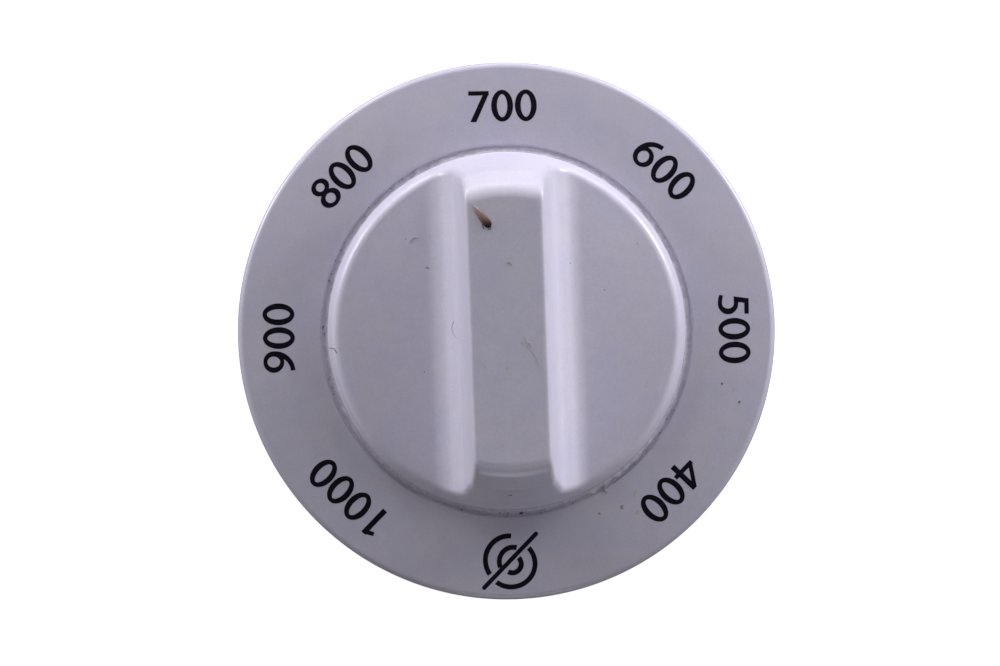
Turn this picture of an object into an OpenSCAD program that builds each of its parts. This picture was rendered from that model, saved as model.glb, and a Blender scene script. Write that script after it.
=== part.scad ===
// Control knob of a washing machine: a grip with a bar handle is snapped into a round dial,
// and a steel ring springs its split socket onto a shaft with one flat.
// Millimetres, Z up, the back rim of the dial at Z = 0, the bar along Y.

/* [Dial] */
// Outside diameter of the dial at its back rim
dial_d = 60; // [54:1:72]
// Depth of the dial from its face to its back rim
dial_h = 6; // [5.5:0.5:9]
// Thickness of the dial's face
dial_face_t = 2; // [1.4:0.1:2.4]
// Thickness of the rim wall
dial_rim_t = 2; // [1.2:0.1:2.4]
// Lean of the rim wall from upright, in degrees
dial_rim_lean = 1; // [0:0.5:3]
// Rounding of the outer edge
dial_edge_r = 0.6; // [0.3:0.1:1.2]
// Width of the groove round the grip
groove_w = 0.65; // [0.4:0.05:0.9]
// Depth of the groove round the grip
groove_depth = 0.3; // [0.2:0.05:0.6]
// Rounding of the groove's outer lip
dial_lip_r = 0.25; // [0.1:0.05:0.3]
// Thickness of the collar round the grip, under the face
collar_t = 1.6; // [1.2:0.1:2.4]
// Number of stiffening ribs under the face
dial_ribs = 16; // [8:1:24]
// Thickness of a stiffening rib
dial_rib_t = 0.9; // [0.7:0.1:1.4]
// Height of a stiffening rib below the face
dial_rib_h = 2; // [1.2:0.2:3]

/* [Drum] */
// Diameter of the drum at the dial's face
drum_d = 39.8; // [37:0.2:44]
// Lean of the drum's side from upright, in degrees
drum_lean = 12; // [9:1:15]
// Height of the finger floors above the dial's face
floor_h = 3.4; // [2.8:0.2:5]
// Rounding of the rim round the finger floors
rim_r = 1; // [0.8:0.1:1.8]
// Wall thickness of the moulding
wall = 1.9; // [1.4:0.1:2.4]
// How much thicker the wall is at the bar's ends
end_wall_over = 0.5; // [0.2:0.1:1]

/* [Bar] */
// Height of the bar's top above the dial's face
bar_h = 15.5; // [13:0.5:18]
// Width of the bar across its top
bar_w = 8.4; // [7.4:0.2:10]
// Lean of the bar's sides from upright, in degrees
bar_lean = 7.5; // [6:0.5:12]
// Radius of the cove between the bar and a finger floor
cove_r = 3.25; // [2:0.25:4]
// Rounding of the long top edges
bar_edge_r = 0.5; // [0.2:0.05:0.8]
// Height of the sloped shoulder at each end of the bar
shoulder_h = 2.6; // [2:0.2:3.4]
// Lean of the shoulder from upright, in degrees
shoulder_lean = 37; // [30:1:42]
// Rounding between the shoulder and the top
shoulder_r = 2.25; // [1:0.25:2.75]
// How far the bar's end is wider than the bar, on each side, where it meets the drum's rim
end_block_over = 0.35; // [0.2:0.05:0.6]

/* [Socket] */
// Diameter of the shaft that the knob fits
shaft_d = 6; // [5:0.5:6.5]
// Thickness of the shaft across its flat
shaft_flat = 4.5; // [3.8:0.1:5]
// Clearance of the socket on the shaft, on each side
shaft_gap = 0.15; // [0.05:0.01:0.2]
// Depth of the socket
socket_l = 13; // [10:0.5:14]
// Depth of the round mouth that leads the shaft in
mouth_l = 3.4; // [2.4:0.2:5]
// Clearance of the mouth round the shaft, on each side
mouth_gap = 0.35; // [0.3:0.05:0.5]
// Chamfer of the mouth
mouth_lead = 0.4; // [0.2:0.1:0.6]
// Diameter of the hub round the socket
hub_d = 11; // [10:0.5:12]
// Height of the hub's foot above the back rim
hub_lift = 0.8; // [0.4:0.2:1.4]
// Width of the slots that split the hub
slot_w = 1.2; // [0.8:0.1:1.8]
// Length of the slots, from the hub's foot
slot_l = 7.5; // [6:0.5:9]

/* [Ribs under the grip] */
// Thickness of a rib
rib_t = 1.2; // [0.9:0.1:1.6]
// Distance of the cross ribs in the bar from the middle
cross_rib_y = 10; // [9:0.5:11.5]
// Depth of the cross ribs below the finger floors' underside
cross_rib_h = 1.5; // [0.8:0.1:2]

/* [Snap joint] */
// Clearance between the drum and the dial's hole
seat_gap = 0.1; // [0.05:0.01:0.2]
// Depth of the drum's seat below the dial's face
seat_h = 2.6; // [2.2:0.1:2.8]
// Thickness of the dial's inner ledge
ledge_t = 1.2; // [1:0.1:1.4]
// Overlap of the ledge beyond the drum's inner wall
ledge_over = 0.2; // [0.1:0.1:0.6]
// Width of a hook
hook_w = 5; // [4:0.5:6]
// Width of the hook that keys the dial
key_hook_w = 8; // [7:0.5:9]
// Thickness of a hook
hook_t = 1.1; // [0.9:0.1:1.3]
// Reach of a hook's catch beyond its notch
hook_catch = 0.4; // [0.3:0.05:0.45]
// Height of a hook's catch
catch_h = 1.3; // [1.1:0.1:1.5]
// Clearance round a hook in its notch
notch_gap = 0.15; // [0.1:0.05:0.2]

/* [Spring ring] */
// Thickness of the steel strip
spring_t = 0.5; // [0.3:0.1:0.8]
// Width of the strip
spring_w = 3.2; // [2:0.2:3.6]
// Height of the lip that keeps the ring on the hub
hub_lip_h = 0.8; // [0.6:0.1:1.2]
// Reach of the lip beyond the hub
hub_lip = 0.3; // [0.2:0.05:0.5]
// Opening of the ring, in degrees
spring_gap = 50; // [35:5:80]
// Clearance of the ring below the ribs
spring_play = 0.2; // [0.1:0.05:0.4]

/* [Hidden] */
$fn = 96;
arc_steps = 8;
eps = 0.01;
over = 1;

white = [0.87, 0.87, 0.89];
steel = [0.62, 0.63, 0.65];

// Levels, from the back rim up
face_z = dial_h;
seat_z = face_z - seat_h;
ledge_z = seat_z - ledge_t;
floor_z = face_z + floor_h;
top_z = face_z + bar_h;
crease_z = top_z - shoulder_h;
cove_z = floor_z + cove_r;
hub_foot_z = hub_lift;
ring_z = hub_foot_z + hub_lip_h;
rib_notch_z = ring_z + spring_w + spring_play;

// Radii, from the axis out
dial_r = dial_d / 2;
drum_r = drum_d / 2;
hole_r = drum_r + seat_gap;
inner_r = drum_r - wall;
ledge_r = inner_r - ledge_over;
hub_r = hub_d / 2;
socket_r = shaft_d / 2 + shaft_gap;
mouth_r = shaft_d / 2 + mouth_gap;
flat_y = shaft_flat - shaft_d / 2 + shaft_gap;
floor_edge_r = drum_r - floor_h * tan(drum_lean);
crease_r = drum_r - (bar_h - shoulder_h) * tan(drum_lean);
end_r = crease_r - shoulder_h * tan(shoulder_lean);
rim_inset = round_inset(rim_r, drum_lean);

// Bar and cove across the knob
cove_x = bar_side(cove_z - cove_r * sin(bar_lean)) + cove_r * cos(bar_lean);

// Half width of the bar at height z
function bar_side(z) = bar_w / 2 + (top_z - z) * tan(bar_lean);

// Distance from a corner to where its rounding of radius r meets the level side
function round_inset(r, lean) = r * (1 - sin(lean)) / cos(lean);

// Points of an arc about c, from angle a0 to a1
function arc(c, r, a0, a1) =
    [for (i = [0:arc_steps]) let (a = a0 + (a1 - a0) * i / arc_steps) c + r * [cos(a), sin(a)]];

// Rounded corner at p between a side leaning in by lean and the level top
function round_top(p, r, lean) = arc(p - [round_inset(r, lean), r], r, lean, 90);

// Drum with the bar's ends, as one turned form
module drum_form() {
    rotate_extrude()
        polygon(concat(
            [[0, seat_z], [drum_r, seat_z], [drum_r, face_z], [crease_r, crease_z]],
            round_top([end_r, top_z], shoulder_r, shoulder_lean),
            [[0, top_z]]
        ));
}

// Section of the open space beside the bar: top, side, cove and finger floor
module finger_space() {
    polygon(concat(
        [[drum_r + over, floor_z]],
        arc([cove_x, cove_z], cove_r, 270, 180 + bar_lean),
        round_top([bar_w / 2, top_z], bar_edge_r, bar_lean),
        [[0, top_z], [0, top_z + over], [drum_r + over, top_z + over]]
    ));
}

// Extrudes a section that is drawn across the knob, along the bar
module along_bar(length) {
    rotate([90, 0, 0])
        linear_extrude(height = length, center = true)
            children();
}

// Blocks in line with the bar, where its ends run out to the drum's side
module end_blocks() {
    foot_x = bar_side(face_z) + end_block_over;
    head_x = bar_side(top_z) + end_block_over;
    along_bar(drum_d + 2 * over)
        polygon([[-foot_x, face_z], [foot_x, face_z], [head_x, top_z], [-head_x, top_z]]);
}

// What is taken off round the finger floors to leave a rounded rim
module rim_relief() {
    reach = cove_r + over;
    inset_r = floor_edge_r - rim_inset;
    rotate_extrude()
        polygon(concat(
            round_top([floor_edge_r, floor_z], rim_r, drum_lean),
            [
                [inset_r - reach * tan(drum_lean), floor_z + reach],
                [drum_r + over, floor_z + reach],
                [drum_r + over, floor_z - rim_r * (1 - sin(drum_lean))]
            ]
        ));
}

// Outside of the grip, still solid
module grip_outside() {
    difference() {
        drum_form();
        for (side = [0, 1])
            mirror([side, 0, 0])
                along_bar(drum_d + 2 * over) finger_space();
        difference() {
            rim_relief();
            end_blocks();
        }
    }
}

// Hollow under the finger floors
module drum_hollow() {
    roof_z = floor_z - wall;
    rotate_extrude()
        polygon([
            [0, seat_z - over],
            [inner_r, seat_z - over],
            [inner_r, face_z],
            [inner_r - (roof_z - face_z) * tan(drum_lean), roof_z],
            [0, roof_z]
        ]);
}

// Hollow inside the bar, one wall thickness within its outside
module bar_hollow() {
    roof_z = top_z - wall;
    end_wall = wall + end_wall_over;
    inner_cove = cove_r + wall;
    cove = arc([cove_x, cove_z], inner_cove, 270, 180 + bar_lean);
    top_x = bar_side(roof_z) - wall / cos(bar_lean);
    half = concat(cove, [[top_x, roof_z]]);
    intersection() {
        along_bar(drum_d)
            polygon(concat(
                [[cove_x, face_z]],
                half,
                [for (i = [len(half) - 1:-1:0]) [-half[i][0], half[i][1]]],
                [[-cove_x, face_z]]
            ));
        rotate_extrude()
            polygon([
                [0, face_z],
                [drum_r - end_wall, face_z],
                [crease_r - end_wall, crease_z],
                [crease_r - end_wall - (roof_z - crease_z) * tan(shoulder_lean), roof_z],
                [0, roof_z]
            ]);
    }
}

// Ribs from the hub to the drum's wall, and cross ribs in the bar
module grip_ribs() {
    for (a = [45:90:315])
        rotate([0, 0, a])
            rotate([90, 0, 0])
                linear_extrude(height = rib_t, center = true)
                    polygon([
                        [0, rib_notch_z],
                        [hub_r + 1, rib_notch_z],
                        [hub_r + 1 + rib_notch_z - seat_z, seat_z],
                        [drum_r, seat_z],
                        [drum_r, floor_z],
                        [0, floor_z]
                    ]);
    for (s = [-1, 1])
        translate([-cove_x, s * cross_rib_y - rib_t / 2, floor_z - wall - cross_rib_h])
            cube([2 * cove_x, rib_t, bar_h]);
}

// Hub with the lip that keeps the spring ring on
module hub() {
    translate([0, 0, hub_foot_z])
        cylinder(h = top_z - hub_foot_z - wall / 2, r = hub_r);
}

// Lip at the hub's foot
module hub_foot() {
    rotate_extrude()
        polygon([
            [0, hub_foot_z],
            [hub_r - hub_lip, hub_foot_z],
            [hub_r + hub_lip, hub_foot_z + hub_lip_h / 2],
            [hub_r + hub_lip, ring_z],
            [hub_r, ring_z],
            [hub_r, floor_z],
            [0, floor_z]
        ]);
}

// Hole for a shaft with one flat, with a round mouth
module socket() {
    translate([0, 0, hub_foot_z]) {
        intersection() {
            cylinder(h = socket_l, r = socket_r);
            translate([-socket_r - over, -flat_y, -over])
                cube([2 * (socket_r + over), 2 * socket_r + over, socket_l + 3 * over]);
        }
        rotate_extrude()
            polygon([
                [0, -eps],
                [mouth_r + mouth_lead + eps, -eps],
                [mouth_r, mouth_lead],
                [mouth_r, mouth_l],
                [0, mouth_l]
            ]);
    }
}

// Slots that split the hub in two jaws
module hub_slots() {
    translate([-hub_r - over, -slot_w / 2, hub_foot_z - over])
        cube([2 * (hub_r + over), slot_w, slot_l + over]);
}

// Part of a turned form that is width wide, at angle a
module sector(a, width) {
    intersection() {
        children();
        rotate([0, 0, a])
            translate([0, -width / 2, 0])
                cube([drum_d, width, top_z]);
    }
}

// Ring from which the hooks are cut
module hook_ring() {
    hook_r = inner_r + hook_t;
    catch_r = hook_r + notch_gap + hook_catch;
    rotate_extrude()
        polygon([
            [inner_r, seat_z + over],
            [inner_r, ledge_z - catch_h],
            [hook_r, ledge_z - catch_h],
            [catch_r, ledge_z - catch_h / 3],
            [catch_r, ledge_z],
            [hook_r, ledge_z],
            [hook_r, seat_z + over]
        ]);
}

module grip() {
    color(white)
        difference() {
            union() {
                difference() {
                    grip_outside();
                    difference() {
                        union() {
                            drum_hollow();
                            bar_hollow();
                        }
                        grip_ribs();
                        hub();
                    }
                }
                hub_foot();
                for (a = [0, 180, 270])
                    sector(a, hook_w) hook_ring();
                sector(90, key_hook_w) hook_ring();
            }
            socket();
            hub_slots();
        }
}

// Section of the dial from its hole to its rim, with the groove round the hole
module dial_section() {
    rim_top = [dial_r - dial_h * tan(dial_rim_lean), face_z];
    lip = [hole_r + groove_w, face_z];
    under_z = face_z - dial_face_t;
    polygon(concat(
        [[dial_r - dial_rim_t, 0], [dial_r, 0]],
        round_top(rim_top, dial_edge_r, dial_rim_lean),
        arc(lip + [dial_lip_r, -dial_lip_r], dial_lip_r, 90, 180),
        [
            [hole_r + groove_w, face_z - groove_depth],
            [hole_r, face_z - groove_depth],
            [hole_r, seat_z],
            [ledge_r, seat_z],
            [ledge_r, ledge_z],
            [hole_r + collar_t, ledge_z],
            [hole_r + collar_t, under_z],
            [dial_r - dial_rim_t - under_z * tan(dial_rim_lean), under_z]
        ]
    ));
}

// Notch in the ledge for a hook
module hook_notch(a, width) {
    notch_r = inner_r + hook_t + notch_gap;
    sector(a, width + 2 * notch_gap)
        translate([0, 0, ledge_z - over])
            cylinder(h = ledge_t + 2 * over, r = notch_r);
}

module dial() {
    color(white)
        difference() {
            union() {
                rotate_extrude() dial_section();
                for (i = [0:dial_ribs - 1])
                    rotate([0, 0, (i + 0.5) * 360 / dial_ribs])
                        translate([hole_r + collar_t / 2, -dial_rib_t / 2, face_z - dial_face_t - dial_rib_h])
                            cube([
                                dial_r - dial_rim_t / 2 - hole_r - collar_t,
                                dial_rib_t,
                                dial_rib_h + dial_face_t / 2
                            ]);
            }
            for (a = [0, 180, 270])
                hook_notch(a, hook_w);
            hook_notch(90, key_hook_w);
        }
}

module spring_clip() {
    opening = hub_r + spring_t + over;
    color(steel)
        translate([0, 0, ring_z])
            difference() {
                cylinder(h = spring_w, r = hub_r + spring_t);
                translate([0, 0, -over])
                    cylinder(h = spring_w + 2 * over, r = hub_r);
                translate([0, 0, -over])
                    linear_extrude(height = spring_w + 2 * over)
                        polygon([
                            [0, 0],
                            2 * opening * [-sin(spring_gap / 2), -cos(spring_gap / 2)],
                            2 * opening * [sin(spring_gap / 2), -cos(spring_gap / 2)]
                        ]);
            }
}

grip();
dial();
spring_clip();
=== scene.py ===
import math
import random

import bmesh
import bpy
import numpy as np
from mathutils import Matrix, Vector, geometry, noise
from mathutils.bvhtree import BVHTree


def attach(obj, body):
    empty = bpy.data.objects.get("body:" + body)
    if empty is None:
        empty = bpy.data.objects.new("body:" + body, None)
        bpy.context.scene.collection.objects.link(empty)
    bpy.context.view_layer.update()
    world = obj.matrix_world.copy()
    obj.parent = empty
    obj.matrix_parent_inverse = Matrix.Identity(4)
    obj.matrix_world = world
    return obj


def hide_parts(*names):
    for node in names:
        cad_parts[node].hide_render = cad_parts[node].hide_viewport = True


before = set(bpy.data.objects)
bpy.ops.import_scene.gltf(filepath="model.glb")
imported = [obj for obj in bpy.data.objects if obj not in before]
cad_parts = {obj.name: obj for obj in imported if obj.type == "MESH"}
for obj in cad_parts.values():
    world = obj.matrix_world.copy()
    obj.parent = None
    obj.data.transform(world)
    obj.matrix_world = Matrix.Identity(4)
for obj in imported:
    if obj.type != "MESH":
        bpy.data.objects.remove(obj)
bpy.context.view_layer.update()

MM = 0.001
SCENE = bpy.context.scene

# Sizes of the knob in millimetres and degrees, as in its solids
DIAL_R, DIAL_H, DIAL_FACE_T, DIAL_RIM_T, DIAL_RIM_LEAN = 30.0, 6.0, 2.0, 2.0, 1
GROOVE_W, GROOVE_DEPTH, LIP_R, COLLAR_T = 0.65, 0.3, 0.25, 1.6
DIAL_RIBS, DIAL_RIB_T, DIAL_RIB_H = 16, 0.9, 2
DRUM_R, DRUM_LEAN, FLOOR_H, RIM_R, WALL, END_WALL = 19.9, 12.0, 3.4, 1.0, 1.9, 2.4
BAR_H, BAR_W, BAR_LEAN, COVE_R, BAR_EDGE_R = 15.5, 8.4, 7.5, 3.25, 0.5
SHOULDER_H, SHOULDER_LEAN, SHOULDER_R = 2.6, 37.0, 2.25
SOCKET_R, SOCKET_L, FLAT_Y, MOUTH_R, MOUTH_L, MOUTH_LEAD = 3.15, 13, 1.65, 3.35, 3.4, 0.4
HUB_R, HUB_Z, HUB_LIP, HUB_LIP_H, SLOT_W, SLOT_L = 5.5, 0.8, 0.3, 0.8, 1.2, 7.5
RIB_T, CROSS_RIB_Y, CROSS_RIB_H = 1.2, 10, 1.5
SEAT_GAP, SEAT_H, LEDGE_T, LEDGE_OVER = 0.1, 2.6, 1.2, 0.2
HOOK_W, KEY_HOOK_W, HOOK_T, HOOK_CATCH, CATCH_H, NOTCH_GAP = 5, 8, 1.1, 0.4, 1.3, 0.15
SPRING_T, SPRING_W, SPRING_GAP, SPRING_PLAY = 0.5, 3.2, 50, 0.2

# Levels from the back rim up, and radii from the axis out
FACE_Z, FLOOR_Z, TOP_Z = DIAL_H, DIAL_H + FLOOR_H, DIAL_H + BAR_H
SEAT_Z, LEDGE_Z = FACE_Z - SEAT_H, FACE_Z - SEAT_H - LEDGE_T
CREASE_Z = TOP_Z - SHOULDER_H
CREASE_R = DRUM_R - (CREASE_Z - FACE_Z) * math.tan(math.radians(DRUM_LEAN))
RING_Z = HUB_Z + HUB_LIP_H
RIB_NOTCH_Z, RIB_NOTCH_R = RING_Z + SPRING_W + SPRING_PLAY, HUB_R + 1
GROOVE_Z = FACE_Z - GROOVE_DEPTH
HOLE_R, GROOVE_R = DRUM_R + SEAT_GAP, DRUM_R + SEAT_GAP + GROOVE_W
INNER_R = DRUM_R - WALL
HOOK_R = INNER_R + HOOK_T
CATCH_R = HOOK_R + NOTCH_GAP + HOOK_CATCH

# Roundings of this mesh that the solids leave sharp, or make smaller
CREASE_ROUND, DIAL_EDGE_R, DIAL_SMALL_R, DIAL_LARGE_R, SPRING_EDGE_R = 0.5, 0.75, 0.2, 0.3, 0.12

# How far a form reaches into what it joins, or past what it cuts
OVER = 1


# Fields of the grip
# A field is a pair: the distance to a surface, below 0 inside, and its gradient.

def cap(a, b, r=0.0):
    """What two fields share, with their edge rounded to radius r."""
    (da, ga), (db, gb) = a, b
    plain = da >= db
    d = np.where(plain, da, db)
    g = np.where(plain[:, None], ga, gb)
    if np.ndim(r) or r > 0:
        # From the edge moved in by r, a point lies s and t along the two normals
        k = (ga * gb).sum(1)
        w = np.maximum(1 - k * k, 1e-6)
        u, v = da + r, db + r
        s, t = (u - k * v) / w, (v - k * u) / w
        near = (s > 0) & (t > 0) & (w > 1e-3)
        far = np.sqrt(np.maximum(s * u + t * v, 1e-12))
        d = np.where(near, far - r, d)
        g = np.where(near[:, None], (s[:, None] * ga + t[:, None] * gb) / far[:, None], g)
    return d, g


def flip(a):
    """The field of what lies outside."""
    return -a[0], -a[1]


def join(a, b, r=0.0):
    """Two fields together, with the corner between them filled to radius r."""
    return flip(cap(flip(a), flip(b), r))


def shared(*fields):
    """What all these fields share."""
    out = fields[0]
    for f in fields[1:]:
        out = cap(out, f)
    return out


class Forms:
    """Plain forms as fields, worked out at these points."""

    def __init__(self, points):
        self.x, self.y, self.z = points.T
        self.rho = np.maximum(np.hypot(self.x, self.y), 1e-6)
        self.side_x = np.where(self.x < 0, -1.0, 1.0)
        self.side_y = np.where(self.y < 0, -1.0, 1.0)

    def gradient(self, gx, gy, gz):
        """One gradient a point, from numbers or from one number a point."""
        return np.stack([gx + 0 * self.x, gy + 0 * self.x, gz + 0 * self.x], 1)

    def turned(self, nr, nz, r0, z0):
        """A turned side that faces (nr, nz) and passes through radius r0 at height z0."""
        size = math.hypot(nr, nz)
        nr, nz = nr / size, nz / size
        distance = (self.rho - r0) * nr + (self.z - z0) * nz
        return distance, self.gradient(self.x / self.rho * nr, self.y / self.rho * nr, nz)

    def rod(self, r0):
        """All that lies within radius r0."""
        return self.turned(1, 0, r0, 0)

    def cone(self, r0, z0, lean):
        """All within a side that leans in by lean degrees above radius r0 at height z0."""
        a = math.radians(lean)
        return self.turned(math.cos(a), math.sin(a), r0, z0)

    def up_to(self, z0):
        """All below height z0."""
        return self.z - z0, self.gradient(0, 0, 1)

    def from_level(self, z0):
        """All above height z0."""
        return flip(self.up_to(z0))

    def within_x(self, half):
        """All within this distance of the plane X = 0."""
        return self.side_x * self.x - half, self.gradient(self.side_x, 0, 0)

    def within_y(self, half):
        """All within this distance of the plane Y = 0."""
        return self.side_y * self.y - half, self.gradient(0, self.side_y, 0)

    def bar_section(self):
        """The bar's section: all under its leaning sides, the coves and the finger floors."""
        a = math.radians(BAR_LEAN)
        from_flank = (self.side_x * self.x - BAR_W / 2) * math.cos(a) - (TOP_Z - self.z) * math.sin(a)
        flank = from_flank, self.gradient(self.side_x * math.cos(a), 0, math.sin(a))
        return join(self.up_to(FLOOR_Z), flank, COVE_R)


# Upward parts of the drum's normal between which its edge's rounding goes from RIM_R to BAR_EDGE_R
STEEP, LEVEL = 0.3, 0.9


def outside_field(at):
    """The turned drum, cut away on both sides of the bar."""
    side = cap(at.rod(DRUM_R), at.cone(DRUM_R, FACE_Z, DRUM_LEAN))
    side = cap(side, at.cone(CREASE_R, CREASE_Z, SHOULDER_LEAN), CREASE_ROUND)
    drum = cap(side, at.up_to(TOP_Z), SHOULDER_R)
    t = np.clip((drum[1][:, 2] - STEEP) / (LEVEL - STEEP), 0, 1)
    edge_r = RIM_R + (BAR_EDGE_R - RIM_R) * t * t * (3 - 2 * t)
    return cap(drum, at.bar_section(), edge_r)


def hollow_field(at):
    """The hollow underside, with ribs and hub left standing in it."""
    drum_hollow = shared(at.rod(INNER_R), at.cone(INNER_R, FACE_Z, DRUM_LEAN), at.up_to(FLOOR_Z - WALL))
    distance, gradient = at.bar_section()
    bar_hollow = shared(
        (distance + WALL, gradient), at.up_to(TOP_Z - WALL), at.from_level(FACE_Z),
        at.cone(DRUM_R - END_WALL, FACE_Z, DRUM_LEAN),
        at.cone(CREASE_R - END_WALL, CREASE_Z, SHOULDER_LEAN))
    hollow = join(drum_hollow, bar_hollow)
    notch = join(at.from_level(RIB_NOTCH_Z), at.turned(-1, -1, RIB_NOTCH_R, RIB_NOTCH_Z))
    rib_foot = cap(at.from_level(SEAT_Z), notch)
    for s in (-1, 1):
        across = (at.x + s * at.y) / math.sqrt(2)
        side = np.where(across < 0, -1.0, 1.0)
        plank = side * across - RIB_T / 2, at.gradient(side, side * s, 0) / math.sqrt(2)
        hollow = cap(hollow, flip(cap(plank, rib_foot)))
    apart = at.side_y * at.y - CROSS_RIB_Y
    side = np.where(apart < 0, -1.0, 1.0)
    cross = side * apart - RIB_T / 2, at.gradient(0, side * at.side_y, 0)
    hollow = cap(hollow, flip(cap(cross, at.from_level(FLOOR_Z - WALL - CROSS_RIB_H))))
    return cap(hollow, flip(at.rod(HUB_R)))


def hub_field(at):
    """The hub round the socket, with the lip that keeps the spring ring on."""
    hub = cap(at.rod(HUB_R), at.up_to(FLOOR_Z - OVER))
    hub = join(hub, cap(at.rod(HUB_R + HUB_LIP), at.up_to(RING_Z)))
    lead = at.turned(HUB_LIP_H / 2, -2 * HUB_LIP, HUB_R - HUB_LIP, HUB_Z)
    return shared(hub, at.from_level(HUB_Z), lead)


def hooks_field(at):
    """Four snap hooks, the one towards +Y wider."""
    foot_z = LEDGE_Z - CATCH_H
    stem = shared(at.rod(HOOK_R), at.up_to(SEAT_Z + OVER))
    lead = at.turned(CATCH_H * 2 / 3, HOOK_R - CATCH_R, HOOK_R, foot_z)
    catch = shared(at.rod(CATCH_R), at.up_to(LEDGE_Z), lead)
    ring = shared(join(stem, catch), flip(at.rod(INNER_R)), at.from_level(foot_z))
    widths = np.where(at.y > 0, KEY_HOOK_W / 2, HOOK_W / 2)
    return cap(ring, join(at.within_y(HOOK_W / 2), at.within_x(widths)))


def socket_field(at):
    """The hole for a shaft with one flat, its round mouth, and the slots that split the hub."""
    flat = -FLAT_Y - at.y, at.gradient(0, -1, 0)
    hole = shared(at.rod(SOCKET_R), flat, at.up_to(HUB_Z + SOCKET_L))
    hole = join(hole, cap(at.rod(MOUTH_R), at.up_to(HUB_Z + MOUTH_L)))
    lead_z = HUB_Z + MOUTH_LEAD
    hole = join(hole, cap(at.turned(1, 1, MOUTH_R, lead_z), at.up_to(lead_z)))
    slots = shared(at.within_y(SLOT_W / 2), at.up_to(HUB_Z + SLOT_L), at.within_x(HUB_R + OVER))
    return join(hole, slots)


def grip_field(points):
    """The whole grip, at points in millimetres."""
    at = Forms(points)
    body = shared(outside_field(at), at.from_level(SEAT_Z), flip(hollow_field(at)))
    body = join(join(body, hub_field(at)), hooks_field(at))
    return cap(body, flip(socket_field(at)))


# Mesh of a field

GRID_STEP = 0.3
GRID_LOW, GRID_HIGH = (-20.5, -20.5, 0.7), (20.5, 20.5, 21.5)
# Steps by which the grid reaches past these, uneven so that no flat side lies in a grid plane
GRID_BEFORE, GRID_AFTER = 1.37, 1.7
# Least slope that moves a point along a grid line, and the largest moves as shares of a step
LEAST_SLOPE, LINE_MOVE, POINT_MOVE = 0.2, 0.3, 0.1
# Weight that holds a vertex to the middle of its crossings, where their planes don't fix it
HOLD = 0.02
# Faces within this angle in degrees become one
FLAT_WITHIN = 0.2
# Below this cosine between a face and the field's normal, about 28 degrees, an edge is sharp
SHARP_BELOW = 0.88


def sample(field, axes):
    """The field's distance at each point of a grid."""
    grid = np.empty([len(a) for a in axes])
    plane = np.stack(np.meshgrid(axes[0], axes[1], indexing="ij"), -1).reshape(-1, 2)
    for k, level in enumerate(axes[2]):
        points = np.column_stack([plane, np.full(len(plane), level)])
        grid[:, :, k] = field(points)[0].reshape(grid.shape[:2])
    return grid


def crossings(field, grid, start, axis):
    """Where the surface crosses the grid lines along one axis: points, normals, cells and quads."""
    strides = np.array([grid.shape[1] * grid.shape[2], grid.shape[2], 1])
    here, ahead = [slice(None)] * 3, [slice(None)] * 3
    here[axis], ahead[axis] = slice(0, -1), slice(1, None)
    inside = grid < 0
    ijk = np.argwhere(inside[tuple(here)] != inside[tuple(ahead)])
    f0 = grid[tuple(ijk.T)]
    step_to = ijk.copy()
    step_to[:, axis] += 1
    f1 = grid[tuple(step_to.T)]
    points = start + GRID_STEP * ijk
    low = start[axis] + GRID_STEP * ijk[:, axis]
    points[:, axis] += GRID_STEP * (f0 / (f0 - f1))
    for _ in range(2):
        d, g = field(points)
        slope = np.where(np.abs(g[:, axis]) > LEAST_SLOPE, g[:, axis], np.inf)
        move = np.clip(d / slope, -LINE_MOVE * GRID_STEP, LINE_MOVE * GRID_STEP)
        points[:, axis] = np.clip(points[:, axis] - move, low, low + GRID_STEP)
    b, c = (axis + 1) % 3, (axis + 2) % 3
    around = []
    for db, dc in ((0, 0), (-1, 0), (-1, -1), (0, -1)):
        cell = ijk.copy()
        cell[:, b] += db
        cell[:, c] += dc
        around.append(cell @ strides)
    cells = np.stack(around, 1)
    quads = np.where((f0 < 0)[:, None], cells, cells[:, ::-1])
    return points, field(points)[1], cells, quads


def best_points(points, normals, index, n):
    """For each of n cells, the point that lies best on the planes of the crossings round it."""
    def gather(values):
        return np.bincount(index, np.repeat(values, 4), minlength=n)

    count = np.bincount(index, minlength=n)
    centre = np.stack([gather(points[:, i]) for i in range(3)], 1) / count[:, None]
    matrix, right = np.empty((n, 3, 3)), np.empty((n, 3))
    reach = (points * normals).sum(1)
    for i in range(3):
        right[:, i] = gather(normals[:, i] * reach)
        for j in range(3):
            matrix[:, i, j] = gather(normals[:, i] * normals[:, j])
    matrix += HOLD * np.eye(3)
    return np.linalg.solve(matrix, (right + HOLD * centre)[:, :, None])[:, :, 0]


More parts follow.
